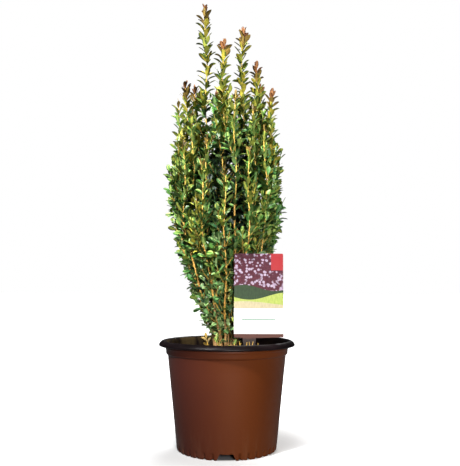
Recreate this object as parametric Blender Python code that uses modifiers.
"""Upright Japanese holly in a brown nursery pot, with a plain plant label stuck in the soil.

Lengths are in metres, +Z is up, and the origin is on the ground under the middle of the pot.
The camera side of the plant is -Y. The plant is a clump of upright stems from one low root crown.
Each stem is a bare bough at its foot and a leafy shoot, one mass of foliage, above it.
"""

import math
import random

import bmesh
import bpy
from mathutils import Matrix, Quaternion, Vector

# Pot
POT_HEIGHT = 0.218
LIP_RADIUS = 0.140
CREST_RADIUS = 0.1305
THROAT_RADIUS = 0.1270
COLLAR_RADIUS = 0.1262
COLLAR_DEPTH = 0.029
SHOULDER_RADIUS = 0.1213
SKIRT_HEIGHT = 0.016
SKIRT_RADIUS = 0.1032
FOOT_RADIUS = 0.1006
WALL = 0.0022
FLOOR_UNDER = 0.0115
POT_SIDES = 48

# Flutes and drain notches round the foot of the pot
FLUTES = 36
FLUTE_RADIUS = 0.0024
FLUTE_HEIGHT = 0.013
FLUTE_LEAN = math.radians(9)
NOTCHES = 4
NOTCH_LOW_WIDTH = 0.040
NOTCH_HIGH_WIDTH = 0.026
NOTCH_HEIGHT = 0.0125

# Soil
SOIL_TOP = 0.193
SOIL_SIDES = 32
CLEAR = 0.0003

# Root crown
CLUMP_X = -0.004
CROWN_HEIGHT = 0.013
CROWN_FLARE = 0.037
CROWN_WAIST = 0.029
CROWN_LOBES = 7
CROWN_SIDES = 42

# Stems: (ring radius, bearing of the first stem in degrees, height of each leafy tip)
RINGS = (
    (0.040, 180.0, (0.942, 0.853, 0.893, 0.790)),
    (0.070, 15.0, (0.824, 0.765, 0.779, 0.777, 0.706, 0.645, 0.733, 0.715)),
    (
        0.096,
        0.0,
        (0.755, 0.784, 0.695, 0.685, 0.705, 0.793, 0.737, 0.635, 0.595, 0.575, 0.615, 0.665),
    ),
)
FOOT_SHARE = 0.23
SPREAD_HEIGHT = 0.49
SPREAD_CURVE = 1.35
JITTER = 0.003
WOBBLE = 0.0022
WOBBLE_PITCH = 0.17
STEM_FOOT_RADIUS = 0.0028
STEM_TIP_RADIUS = 0.0011
BOUGH_LIFT = 0.0008
BOUGH_TOP = 0.258
BOUGH_RINGS = 5
SHOOT_RING_GAP = 0.060

# Foliage, larger than life so that a few leaves fill the crown
SEED = 41
GOLDEN_TURN = math.pi * (3 - math.sqrt(5))
LEAF_LENGTH = 0.047
LEAF_WIDTH_SHARE = 0.50
LEAF_THICKNESS = 0.0013
LEAF_STEP = 0.0205
INNER_LEAF_STEP = 0.036
LEAF_ROOT_SINK = 0.0006
LEAF_LEAN_LOW = math.radians(58)
LEAF_LEAN_TIP = math.radians(27)
LEAF_TIP_SHRINK = 0.30
FIRST_LEAF = 0.014
TIP_LEAN = 0.1
TIP_SINK = 0.004
# Where a leaf lacks room it is tried more upright and smaller: (share of its lean, of its length)
LEAF_TRIES = ((1.0, 1.0), (0.8, 0.95), (0.6, 0.9), (0.45, 0.8))
TWIG_STEP = 0.052
TWIG_LENGTHS = (0.080, 0.067, 0.055, 0.044)
TWIG_LEAN = math.radians(36)
TWIG_RADIUS = 0.0013
TWIG_TAPER = 0.7
TWIG_TOP_ROOM = 0.10
TWIG_FAN = math.radians(42)
TWIG_LEAF_SHARES = (0.45, 0.72)
TWIG_LEAF_LEAN = math.radians(49)
TWIG_LEAF_LENGTH = 0.042
SPACE_MARGIN = 0.0022
TIP_REACH = 0.045

# How far the foliage reaches from the middle of the clump: (height, reach)
CROWN_OUTLINE = (
    (0.245, 0.052),
    (0.310, 0.078),
    (0.373, 0.101),
    (0.436, 0.116),
    (0.500, 0.131),
    (0.550, 0.1352),
    (0.600, 0.130),
    (0.660, 0.115),
    (0.760, 0.108),
)

# Label
LABEL_WIDTH = 0.0965
LABEL_LEFT = 0.014
LABEL_Y = -0.080
LABEL_LOW = 0.236
LABEL_TOP = 0.3925
CARD_THICKNESS = 0.0009
HOLDER_THICKNESS = 0.0036
HOLDER_HEIGHT = 0.0065
HOLDER_GROOVE = 0.0035
SPIKE_LEFT = 0.031
SPIKE_TOP_WIDTH = 0.026
SPIKE_LOW_WIDTH = 0.008
SPIKE_LOW = 0.120
SPIKE_GUSSET = 0.0015
LABEL_ROOM = 0.005

MERGE = 1e-5
COLLECTION = "potted_holly"

# Colour, roughness and metallic value of each finish
FINISHES = {
    "pot_plastic": ((0.10, 0.028, 0.012), 0.42, 0.0),
    "soil": ((0.030, 0.018, 0.011), 0.95, 0.0),
    "bark": ((0.42, 0.25, 0.09), 0.75, 0.0),
    "foliage": ((0.075, 0.16, 0.028), 0.40, 0.0),
    "label_card": ((0.85, 0.84, 0.80), 0.45, 0.0),
    "label_holder": ((0.16, 0.045, 0.025), 0.45, 0.0),
}


def clear_scene():
    for obj in list(bpy.data.objects):
        bpy.data.objects.remove(obj)


def new_collection(name, hidden=False):
    made = bpy.data.collections.new(name)
    made.hide_render = hidden
    bpy.context.scene.collection.children.link(made)
    return made


def finish(name):
    """The Principled material of that name, made when it is first asked for."""
    found = bpy.data.materials.get(name)
    if found:
        return found
    colour, roughness, metallic = FINISHES[name]
    made = bpy.data.materials.new(name)
    made.use_nodes = True
    shader = made.node_tree.nodes["Principled BSDF"]
    shader.inputs["Base Color"].default_value = (*colour, 1.0)
    shader.inputs["Roughness"].default_value = roughness
    shader.inputs["Metallic"].default_value = metallic
    return made


def add_object(name, data, collection, material=None):
    obj = bpy.data.objects.new(name, data)
    collection.objects.link(obj)
    if material:
        data.materials.append(finish(material))
    return obj


def mesh_from(shape, name):
    """A mesh of that name from a bmesh, which is freed."""
    mesh = bpy.data.meshes.new(name)
    shape.to_mesh(mesh)
    shape.free()
    return mesh


def turned(name, profile, sides, collection, material):
    """A solid turned about +Z from (radius, height) points that run down its outer side."""
    shape = bmesh.new()
    points = [shape.verts.new((radius, 0.0, height)) for radius, height in profile]
    for above, below in zip(points, points[1:]):
        shape.edges.new((above, below))
    obj = add_object(name, mesh_from(shape, name), collection, material)
    screw = obj.modifiers.new("turn", "SCREW")
    screw.steps = screw.render_steps = sides
    screw.use_merge_vertices = True
    screw.merge_threshold = MERGE
    return obj


def apply_modifiers(obj):
    """Replaces the object's mesh with the one that its modifiers make."""
    graph = bpy.context.evaluated_depsgraph_get()
    mesh = bpy.data.meshes.new_from_object(obj.evaluated_get(graph))
    obj.modifiers.clear()
    obj.data = mesh


def cut_away(obj, cutters):
    """Cuts the cutters' collection from the object."""
    cut = obj.modifiers.new("cut", "BOOLEAN")
    cut.operation = "DIFFERENCE"
    cut.operand_type = "COLLECTION"
    cut.collection = cutters


def pot_profile():
    """The pot's wall, from the middle of its floor up the inside, over the lip and down the outside."""
    top = POT_HEIGHT
    floor = FLOOR_UNDER + WALL
    inside = [
        (0.0, floor),
        (SKIRT_RADIUS - WALL - 0.004, floor),
        (SKIRT_RADIUS - WALL, floor + 0.005),
        (SHOULDER_RADIUS - WALL, top - COLLAR_DEPTH - 0.001),
        (COLLAR_RADIUS - WALL - 0.0008, top - COLLAR_DEPTH + 0.005),
        (COLLAR_RADIUS - WALL, top - 0.008),
    ]
    lip = [
        (THROAT_RADIUS, top - 0.0010),
        (CREST_RADIUS, top),
        (0.1345, top - 0.0013),
        (LIP_RADIUS - 0.0012, top - 0.0055),
        (LIP_RADIUS, top - 0.0085),
        (LIP_RADIUS - 0.0006, top - 0.0105),
        (LIP_RADIUS - 0.0024, top - 0.0108),
        (LIP_RADIUS - 0.0040, top - 0.0066),
        (CREST_RADIUS + 0.0015, top - 0.0030),
        (CREST_RADIUS - 0.0012, top - 0.0036),
    ]
    outside = [
        (COLLAR_RADIUS + 0.0004, top - 0.0125),
        (COLLAR_RADIUS + 0.0008, top - 0.0160),
        (COLLAR_RADIUS - 0.0006, top - 0.0185),
        (COLLAR_RADIUS - 0.0014, top - COLLAR_DEPTH + 0.003),
        (SHOULDER_RADIUS + 0.0002, top - COLLAR_DEPTH),
        (SKIRT_RADIUS, SKIRT_HEIGHT),
        (FOOT_RADIUS + 0.0012, 0.004),
        (FOOT_RADIUS, 0.0),
        (FOOT_RADIUS - WALL - 0.0006, 0.0),
        (SKIRT_RADIUS - WALL - 0.0016, FLOOR_UNDER),
        (0.0, FLOOR_UNDER),
    ]
    return inside + lip + outside


def flute_cutter(turn, cutters):
    """A short upright rod that cuts one groove in the foot of the pot."""
    shape = bmesh.new()
    bmesh.ops.create_cone(
        shape,
        cap_ends=True,
        segments=6,
        radius1=FLUTE_RADIUS,
        radius2=FLUTE_RADIUS,
        depth=2 * FLUTE_HEIGHT,
    )
    lean = Matrix.Rotation(FLUTE_LEAN, 4, "Y")
    out = Matrix.Translation((FOOT_RADIUS + 0.0011, 0.0, 0.0))
    shape.transform(Matrix.Rotation(turn, 4, "Z") @ out @ lean)
    add_object("flute_cutter", mesh_from(shape, "flute_cutter"), cutters)


def notch_cutter(turn, cutters):
    """A wedge that opens one drain notch through the skirt of the pot."""
    shape = bmesh.new()
    bmesh.ops.create_cube(shape, size=1.0)
    depth = 0.030
    for vert in shape.verts:
        high = vert.co.z > 0
        width = NOTCH_HIGH_WIDTH if high else NOTCH_LOW_WIDTH
        vert.co.x *= depth
        vert.co.y *= width
        vert.co.z = NOTCH_HEIGHT if high else -0.002
    out = Matrix.Translation((FOOT_RADIUS, 0.0, 0.0))
    shape.transform(Matrix.Rotation(turn, 4, "Z") @ out)
    add_object("notch_cutter", mesh_from(shape, "notch_cutter"), cutters)


def build_pot(parts):
    cutters = new_collection("pot_cutters", hidden=True)
    notch_turns = [k * math.tau / NOTCHES - math.pi / 2 for k in range(NOTCHES)]
    for turn in notch_turns:
        notch_cutter(turn, cutters)
    for k in range(FLUTES):
        turn = (k + 0.5) * math.tau / FLUTES
        away = min(abs(math.remainder(turn - notch, math.tau)) for notch in notch_turns)
        if away * FOOT_RADIUS > NOTCH_LOW_WIDTH / 2 + FLUTE_RADIUS:
            flute_cutter(turn, cutters)
    for cutter in cutters.objects:
        cutter.hide_render = True
        cutter.display_type = "WIRE"
    pot = turned("pot", pot_profile(), POT_SIDES, parts, "pot_plastic")
    cut_away(pot, cutters)


def label_outline(grow):
    """The holder and its spike as (x, z) points, grown outwards by a clearance."""
    middle = SPIKE_LEFT + SPIKE_TOP_WIDTH / 2
    high, low = SPIKE_TOP_WIDTH / 2 + grow, SPIKE_LOW_WIDTH / 2 + grow
    strip_low = LABEL_LOW - HOLDER_HEIGHT
    return [
        (LABEL_LEFT - grow, LABEL_LOW),
        (LABEL_LEFT - grow, strip_low - grow),
        (middle - high, strip_low - SPIKE_GUSSET - grow),
        (middle - low, SPIKE_LOW + 0.012),
        (middle, SPIKE_LOW - grow),
        (middle + low, SPIKE_LOW + 0.012),
        (middle + high, strip_low - SPIKE_GUSSET - grow),
        (LABEL_LEFT + LABEL_WIDTH + grow, strip_low - grow),
        (LABEL_LEFT + LABEL_WIDTH + grow, LABEL_LOW),
    ]


def upright_plate(name, outline, thickness, collection, material=None):
    """A flat plate at the label's place, from an outline of (x, z) points."""
    curve = bpy.data.curves.new(name, "CURVE")
    curve.dimensions = "2D"
    curve.fill_mode = "BOTH"
    curve.extrude = thickness / 2
    line = curve.splines.new("POLY")
    line.points.add(len(outline) - 1)
    for point, (x, z) in zip(line.points, outline):
        point.co = (x, z, 0.0, 1.0)
    line.use_cyclic_u = True
    obj = add_object(name, curve, collection)
    stand = Matrix.Rotation(math.pi / 2, 4, "X")
    return curve_to_mesh(obj, Matrix.Translation((0.0, LABEL_Y, 0.0)) @ stand, collection, material)


def curve_to_mesh(obj, place, collection, material=None):
    """A mesh object with the curve's name, its caps welded and its place in its vertices."""
    name = obj.name
    graph = bpy.context.evaluated_depsgraph_get()
    made = bpy.data.meshes.new_from_object(obj.evaluated_get(graph))
    bpy.data.objects.remove(obj)
    shape = bmesh.new()
    shape.from_mesh(made)
    bmesh.ops.remove_doubles(shape, verts=shape.verts, dist=MERGE)
    shape.transform(place)
    bmesh.ops.recalc_face_normals(shape, faces=shape.faces)
    return add_object(name, mesh_from(shape, name), collection, material)


def build_soil(parts):
    """The potting mix fills the pot from its floor, with a slot for the label's spike."""
    low = FLOOR_UNDER + WALL + CLEAR
    share = (SOIL_TOP - 0.020) / (POT_HEIGHT - COLLAR_DEPTH - 0.020)
    wide = SKIRT_RADIUS + share * (SHOULDER_RADIUS - SKIRT_RADIUS) - WALL - 3 * CLEAR
    profile = [
        (0.0, SOIL_TOP),
        (wide, SOIL_TOP),
        (SKIRT_RADIUS - WALL - 3 * CLEAR, low + 0.006),
        (SKIRT_RADIUS - WALL - 0.005, low),
        (0.0, low),
    ]
    cutters = new_collection("soil_cutters", hidden=True)
    slot = upright_plate("slot_cutter", label_outline(CLEAR), HOLDER_THICKNESS + 2 * CLEAR, cutters)
    slot.hide_render = True
    slot.display_type = "WIRE"
    soil = turned("soil", profile, SOIL_SIDES, parts, "soil")
    cut_away(soil, cutters)


def build_label(parts):
    """A card held upright in a groove along the top of a spiked plastic holder."""
    groove_low = LABEL_LOW - HOLDER_GROOVE
    right = LABEL_LEFT + LABEL_WIDTH
    cutters = new_collection("label_cutters", hidden=True)
    groove = upright_plate(
        "groove_cutter",
        [(LABEL_LEFT - 0.01, groove_low), (right + 0.01, groove_low)]
        + [(right + 0.01, LABEL_LOW + 0.01), (LABEL_LEFT - 0.01, LABEL_LOW + 0.01)],
        CARD_THICKNESS + 2 * CLEAR,
        cutters,
    )
    groove.hide_render = True
    groove.display_type = "WIRE"
    holder = upright_plate(
        "label_holder", label_outline(0.0), HOLDER_THICKNESS, parts, "label_holder"
    )
    cut_away(holder, cutters)
    low = groove_low + CLEAR
    card = [(LABEL_LEFT, low), (right, low), (right, LABEL_TOP), (LABEL_LEFT, LABEL_TOP)]
    upright_plate("label_card", card, CARD_THICKNESS, parts, "label_card")


def build_root_crown(parts):
    """The low woody crown that all stems rise from: flared and lobed at the soil, flat on top."""
    shape = bmesh.new()
    bmesh.ops.create_cone(
        shape, cap_ends=True, segments=CROWN_SIDES, radius1=1.0, radius2=1.0, depth=1.0
    )
    for vert in shape.verts:
        low = vert.co.z < 0
        bearing = math.atan2(vert.co.y, vert.co.x)
        lobe = 1.0 + (0.07 if low else 0.03) * math.cos(CROWN_LOBES * bearing)
        radius = (CROWN_FLARE if low else CROWN_WAIST) * lobe
        vert.co.x = CLUMP_X + radius * math.cos(bearing)
        vert.co.y = radius * math.sin(bearing)
        vert.co.z = SOIL_TOP + CLEAR + (0.0 if low else CROWN_HEIGHT)
    add_object("root_crown", mesh_from(shape, "root_crown"), parts, "bark")


class Stem:
    """One upright stem of the clump: where it stands, how it spreads and how high it reaches."""

    foot = SOIL_TOP + CLEAR + CROWN_HEIGHT + BOUGH_LIFT

    def __init__(self, number, radius, bearing, tip):
        dice = random.Random(SEED + number)
        self.number = number
        self.bearing = bearing
        self.outer = radius == RINGS[-1][0]
        self.tip = tip
        self.wood_tip = tip - LEAF_LENGTH * math.cos(LEAF_LEAN_TIP) * 0.8
        self.top = Vector((radius * math.cos(bearing), radius * math.sin(bearing)))
        self.top += Vector((dice.uniform(-JITTER, JITTER), dice.uniform(-JITTER, JITTER)))
        self.phase = dice.uniform(0.0, math.tau)

    def spread(self, height):
        """The share of its full distance from the middle that the stem has at a height."""
        rise = (height - self.foot) / (SPREAD_HEIGHT - self.foot)
        rise = min(max(rise, 0.0), 1.0)
        return FOOT_SHARE + (1 - FOOT_SHARE) * math.sin(rise * math.pi / 2) ** SPREAD_CURVE

    def point(self, height):
        height = min(height, self.wood_tip)
        middle = self.top * self.spread(height)
        swing = WOBBLE * min(1.0, (height - self.foot) / 0.1)
        turn = math.tau * height / WOBBLE_PITCH + self.phase
        x = CLUMP_X + middle.x + swing * math.cos(turn)
        return Vector((x, middle.y + swing * math.sin(turn), height))

    def direction(self, height):
        height = min(height, self.wood_tip - 0.005)
        return (self.point(height + 0.005) - self.point(height)).normalized()

    def radius(self, height):
        share = (height - self.foot) / (self.wood_tip - self.foot)
        return STEM_FOOT_RADIUS + (STEM_TIP_RADIUS - STEM_FOOT_RADIUS) * min(share, 1.0)

    def distance(self, point):
        """How far a point is from this stem, measured level."""
        here = self.point(max(point.z, self.foot))
        return math.hypot(point.x - here.x, point.y - here.y)


def all_stems():
    made = []
    for radius, first, tips in RINGS:
        for k, tip in enumerate(tips):
            bearing = math.radians(first) + k * math.tau / len(tips)
            made.append(Stem(len(made) + 1, radius, bearing, tip))
    return made


def in_label_space(point):
    """Whether a point would cover or touch the label, which stands in front of the foliage."""
    beside = LABEL_LEFT - LABEL_ROOM < point.x < LABEL_LEFT + LABEL_WIDTH + LABEL_ROOM
    return beside and point.y < LABEL_Y + LABEL_ROOM and point.z < LABEL_TOP + LABEL_ROOM


def crown_reach(height):
    """The crown's outline, read between the points of CROWN_OUTLINE."""
    for (low, near), (high, far) in zip(CROWN_OUTLINE, CROWN_OUTLINE[1:]):
        if height < high:
            share = max(0.0, (height - low) / (high - low))
            return near + (far - near) * share
    return CROWN_OUTLINE[-1][1]


def keeps_to_space(stem, stems, points):
    """Whether the points stay in the stem's own share of the crown, inside its outline."""
    for point in points:
        outside = math.hypot(point.x - CLUMP_X, point.y) > crown_reach(point.z)
        if outside or in_label_space(point):
            return False
        own = stem.distance(point)
        for other in stems:
            if other is stem or point.z > other.tip + TIP_REACH:
                continue
            if other.distance(point) < own + SPACE_MARGIN:
                return False
    return True


def tapered_limb(name, points, radii, resolution, collection, material=None):
    """One limb along the points, as a mesh, from a bevelled curve with a radius at each point."""
    curve = bpy.data.curves.new(name, "CURVE")
    curve.dimensions = "3D"
    curve.bevel_depth = 1.0
    curve.bevel_resolution = resolution
    curve.use_fill_caps = True
    line = curve.splines.new("POLY")
    line.points.add(len(points) - 1)
    for point, place, radius in zip(line.points, points, radii):
        point.co = (*place, 1.0)
        point.radius = radius
    obj = add_object(name, curve, collection)
    return curve_to_mesh(obj, Matrix.Identity(4), collection, material)


def stem_stretch(stem, low, high, count):
    """Points and radii along a stretch of a stem."""
    heights = [low + (high - low) * k / (count - 1) for k in range(count)]
    return [stem.point(height) for height in heights], [stem.radius(height) for height in heights]


def side_direction(along, turn, lean):
    """A direction that leans out from the limb's own direction, turned about it."""
    across = along.orthogonal().normalized()
    level = Vector((0.0, 1.0, 0.0)).cross(along)
    if level.length > 0.1:
        across = level.normalized()
    out = Quaternion(along, turn) @ across
    return (along * math.cos(lean) + out * math.sin(lean)).normalized()


class Leaf:
    """A flat diamond-shaped leaf from its root to its tip, its upper side towards the limb."""

    def __init__(self, root, direction, along, length):
        self.root = root
        self.direction = direction
        self.length = length
        self.side = direction.cross(along).normalized()
        self.face = direction.cross(self.side).normalized()

    def corners(self):
        widest = self.root + self.direction * self.length * 0.45
        half = self.side * self.length * LEAF_WIDTH_SHARE / 2
        tip = self.root + self.direction * self.length
        return [self.root + self.direction * self.length * 0.15, widest - half, widest + half, tip]

    def solid(self, collection):
        """An eight-faced leaf: a sphere of four segments and two rings, stretched to its outline."""
        shape = bmesh.new()
        bmesh.ops.create_uvsphere(shape, u_segments=4, v_segments=2, radius=1.0)
        half = self.length / 2
        middle = self.root + self.direction * half
        for vert in shape.verts:
            across, thick, along = vert.co
            if abs(along) < 0.5:
                along = -0.1
            vert.co = (
                middle
                + self.side * across * self.length * LEAF_WIDTH_SHARE / 2
                + self.face * thick * LEAF_THICKNESS / 2
                + self.direction * along * half
            )
        return add_object("leaf", mesh_from(shape, "leaf"), collection)


def twig_solid(root, end, collection):
    """A straight three-sided twig that tapers to its end."""
    shape = bmesh.new()
    along = end - root
    bmesh.ops.create_cone(
        shape,
        cap_ends=True,
        segments=3,
        radius1=TWIG_RADIUS,
        radius2=TWIG_RADIUS * TWIG_TAPER,
        depth=along.length,
    )
    turn = along.to_track_quat("Z", "Y").to_matrix().to_4x4()
    shape.transform(Matrix.Translation((root + end) / 2) @ turn)
    return add_object("twig", mesh_from(shape, "twig"), collection)


def grow_leaf(stem, stems, root, along, turn, lean, length, collection):
    """Adds a leaf with its root sunk in the limb, more upright and smaller where room is short."""
    for lean_share, length_share in LEAF_TRIES:
        direction = side_direction(along, turn, lean * lean_share)
        sunk = root - direction * LEAF_ROOT_SINK
        leaf = Leaf(sunk, direction, along, length * length_share)
        if keeps_to_space(stem, stems, leaf.corners()):
            leaf.solid(collection)
            return


def grow_twig(stem, stems, height, turn, pieces):
    """Adds a side twig with its leaves, at the greatest length that keeps to the stem's space."""
    root = stem.point(height)
    along = side_direction(stem.direction(height), turn, TWIG_LEAN)
    for length in TWIG_LENGTHS:
        end = root + along * length
        tip = end + along * (TWIG_LEAF_LENGTH - TIP_SINK) * LEAF_TRIES[-1][1]
        if not keeps_to_space(stem, stems, [root + along * length * 0.6, tip]):
            continue
        twig_solid(root, end, pieces)
        for k, share in enumerate(TWIG_LEAF_SHARES):
            place = root + along * length * share
            side = k * math.pi
            grow_leaf(stem, stems, place, along, side, TWIG_LEAF_LEAN, TWIG_LEAF_LENGTH, pieces)
        place = end - along * TIP_SINK
        grow_leaf(stem, stems, place, along, turn, TIP_LEAN, TWIG_LEAF_LENGTH, pieces)
        return


def leaves_up_stem(stem, stems, low, dice, pieces):
    """Leaves all the way up a stem, each a golden turn past the last, and one at its tip."""
    high = stem.wood_tip
    turn = dice.uniform(0.0, math.tau)
    height = low + FIRST_LEAF
    while height < high - TIP_SINK:
        share = (height - low) / (high - low)
        lean = LEAF_LEAN_LOW + (LEAF_LEAN_TIP - LEAF_LEAN_LOW) * share**2
        length = LEAF_LENGTH * (1.0 - LEAF_TIP_SHRINK * share**3) * dice.uniform(0.92, 1.06)
        along = stem.direction(height)
        grow_leaf(stem, stems, stem.point(height), along, turn, lean, length, pieces)
        turn += GOLDEN_TURN
        hidden = height < SPREAD_HEIGHT and not stem.outer
        height += INNER_LEAF_STEP if hidden else LEAF_STEP * (1.0 - 0.35 * share**2)
    place = stem.point(high - TIP_SINK)
    up = side_direction(stem.direction(high), turn, TIP_LEAN)
    Leaf(place, up, stem.direction(high), stem.tip - place.z).solid(pieces)


def twigs_up_stem(stem, stems, low, dice, pieces):
    """Side twigs up a stem. On the outer ring they fan outwards, left and right in turn."""
    turn = dice.uniform(0.0, math.tau)
    height = low + dice.uniform(0.03, 0.05)
    side = dice.choice((-1, 1))
    step = TWIG_STEP if stem.outer else TWIG_STEP * INNER_LEAF_STEP / LEAF_STEP
    while height < stem.wood_tip - TWIG_TOP_ROOM:
        turn = stem.bearing + side * TWIG_FAN if stem.outer else turn + GOLDEN_TURN
        grow_twig(stem, stems, height, turn, pieces)
        side = -side
        height += step * dice.uniform(0.85, 1.15)


def build_shoot(stem, stems, parts):
    """One leafy shoot: its stem, side twigs and leaves, joined into one solid."""
    dice = random.Random(SEED * 100 + stem.number)
    low, high = BOUGH_TOP + CLEAR, stem.wood_tip
    pieces = new_collection("pieces", hidden=True)
    leaves_up_stem(stem, stems, low, dice, pieces)
    twigs_up_stem(stem, stems, low, dice, pieces)
    rings = max(3, round((high - low) / SHOOT_RING_GAP))
    stretch = stem_stretch(stem, low, high, rings)
    shoot = tapered_limb(f"foliage_{stem.number:02d}", *stretch, 0, parts, "foliage")
    fuse(shoot, pieces)
    return len(shoot.data.polygons)


def fuse(obj, pieces):
    """Joins the pieces to the object, applies the union and removes the pieces."""
    join = obj.modifiers.new("join", "BOOLEAN")
    join.operation = "UNION"
    join.operand_type = "COLLECTION"
    join.collection = pieces
    join.solver = "MANIFOLD"
    apply_modifiers(obj)
    for piece in list(pieces.objects):
        bpy.data.objects.remove(piece)
    bpy.data.collections.remove(pieces)
    keep_outer_skin(obj)


def keep_outer_skin(obj):
    """Keeps the largest closed skin of the mesh, which fills sealed hollows and drops loose scraps."""
    shape = bmesh.new()
    shape.from_mesh(obj.data)
    bmesh.ops.triangulate(shape, faces=shape.faces)
    loose = set(shape.faces)
    skins = []
    while loose:
        skin, edge = set(), [loose.pop()]
        while edge:
            face = edge.pop()
            skin.add(face)
            for near in {other for side in face.edges for other in side.link_faces} & loose:
                loose.discard(near)
                edge.append(near)
        skins.append(skin)
    largest = max(skins, key=lambda skin: sum(face.calc_area() for face in skin))
    scraps = [face for face in shape.faces if face not in largest]
    bmesh.ops.delete(shape, geom=scraps, context="FACES")
    shape.to_mesh(obj.data)
    shape.free()


def build_bough(stem, parts):
    """The bare foot of a stem, one tapering limb from the root crown to its leafy shoot."""
    name = f"bough_{stem.number:02d}"
    stretch = stem_stretch(stem, stem.foot, BOUGH_TOP, BOUGH_RINGS)
    tapered_limb(name, *stretch, 1, parts, "bark")


def main():
    clear_scene()
    parts = new_collection(COLLECTION)
    build_pot(parts)
    build_soil(parts)
    build_label(parts)
    build_root_crown(parts)
    stems = all_stems()
    for stem in stems:
        build_bough(stem, parts)
    faces = [build_shoot(stem, stems, parts) for stem in stems]
    print(f"{len(stems)} shoots, {sum(faces)} triangles of foliage")


main()
